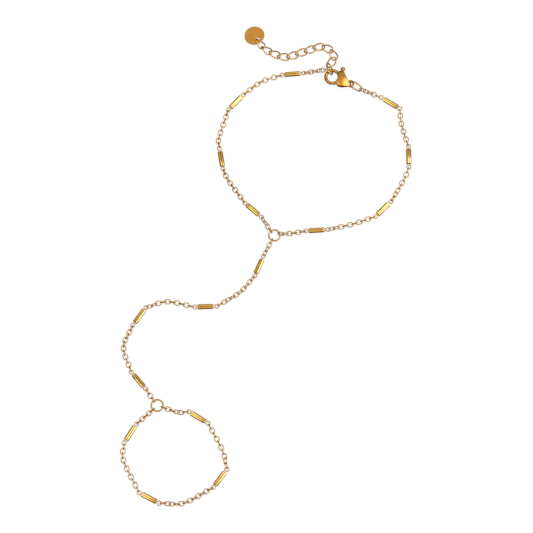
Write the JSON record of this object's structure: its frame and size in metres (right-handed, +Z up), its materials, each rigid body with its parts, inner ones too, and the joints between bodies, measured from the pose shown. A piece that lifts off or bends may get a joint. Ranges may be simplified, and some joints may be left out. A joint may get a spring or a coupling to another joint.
{
  "type": "hand chain bracelet",
  "caption": "Fine gold-coloured hand chain: wrist loop and finger loop of small oval links with slim tube bars, lobster clasp, and extender chain with a plain round tag.",
  "frame": {"origin": "bottom centre of the box round the bracelet, on the surface it lies on", "axes": "+Z up, out of the surface; +Y from the finger loop towards the wrist loop and clasp; +X to the right of the picture"},
  "size_m": [0.0856, 0.1486, 0.0029],
  "materials": {
    "gold_wire": "polished, gold-plated steel wire",
    "gold_sleeve": "polished, gold-plated steel tube",
    "gold_clasp": "polished, gold-plated cast metal",
    "gold_tag": "polished, gold-plated steel sheet"
  },
  "bodies": {
    "bracelet": {"clasp_body": "gold_clasp", "clasp_pin": "gold_clasp", "clasp_link": "gold_wire", "end_ring": "gold_wire", "extender_chain": "gold_wire", "tag": "gold_tag", "wrist_chain_right": "gold_wire", "wrist_chain_left": "gold_wire", "junction_ring": "gold_wire", "hand_chain": "gold_wire", "finger_ring": "gold_wire", "finger_chain": "gold_wire", "wrist_right_bar_link_1": "gold_wire", "wrist_right_bar_sleeve_1": "gold_sleeve", "wrist_right_bar_link_2": "gold_wire", "wrist_right_bar_sleeve_2": "gold_sleeve", "wrist_right_bar_link_3": "gold_wire", "wrist_right_bar_sleeve_3": "gold_sleeve", "wrist_right_bar_link_4": "gold_wire", "wrist_right_bar_sleeve_4": "gold_sleeve", "wrist_left_bar_link_1": "gold_wire", "wrist_left_bar_sleeve_1": "gold_sleeve", "wrist_left_bar_link_2": "gold_wire", "wrist_left_bar_sleeve_2": "gold_sleeve", "wrist_left_bar_link_3": "gold_wire", "wrist_left_bar_sleeve_3": "gold_sleeve", "wrist_left_bar_link_4": "gold_wire", "wrist_left_bar_sleeve_4": "gold_sleeve", "hand_bar_link_1": "gold_wire", "hand_bar_sleeve_1": "gold_sleeve", "hand_bar_link_2": "gold_wire", "hand_bar_sleeve_2": "gold_sleeve", "hand_bar_link_3": "gold_wire", "hand_bar_sleeve_3": "gold_sleeve", "hand_bar_link_4": "gold_wire", "hand_bar_sleeve_4": "gold_sleeve", "finger_bar_link_1": "gold_wire", "finger_bar_sleeve_1": "gold_sleeve", "finger_bar_link_2": "gold_wire", "finger_bar_sleeve_2": "gold_sleeve", "finger_bar_link_3": "gold_wire", "finger_bar_sleeve_3": "gold_sleeve", "finger_bar_link_4": "gold_wire", "finger_bar_sleeve_4": "gold_sleeve"},
    "clasp_lever": {"clasp_lever": "gold_clasp"}
  },
  "joints": [
    {"name": "clasp_lever_hinge", "type": "hinge", "parent": "bracelet", "child": "clasp_lever", "pos_m": [0.02226, 0.0573, 0.00115], "axis": [0, 0, -1], "range_deg": [0, 25], "stiffness_Nm_per_rad": 0.002, "springref_deg": -11.46}
  ]
}
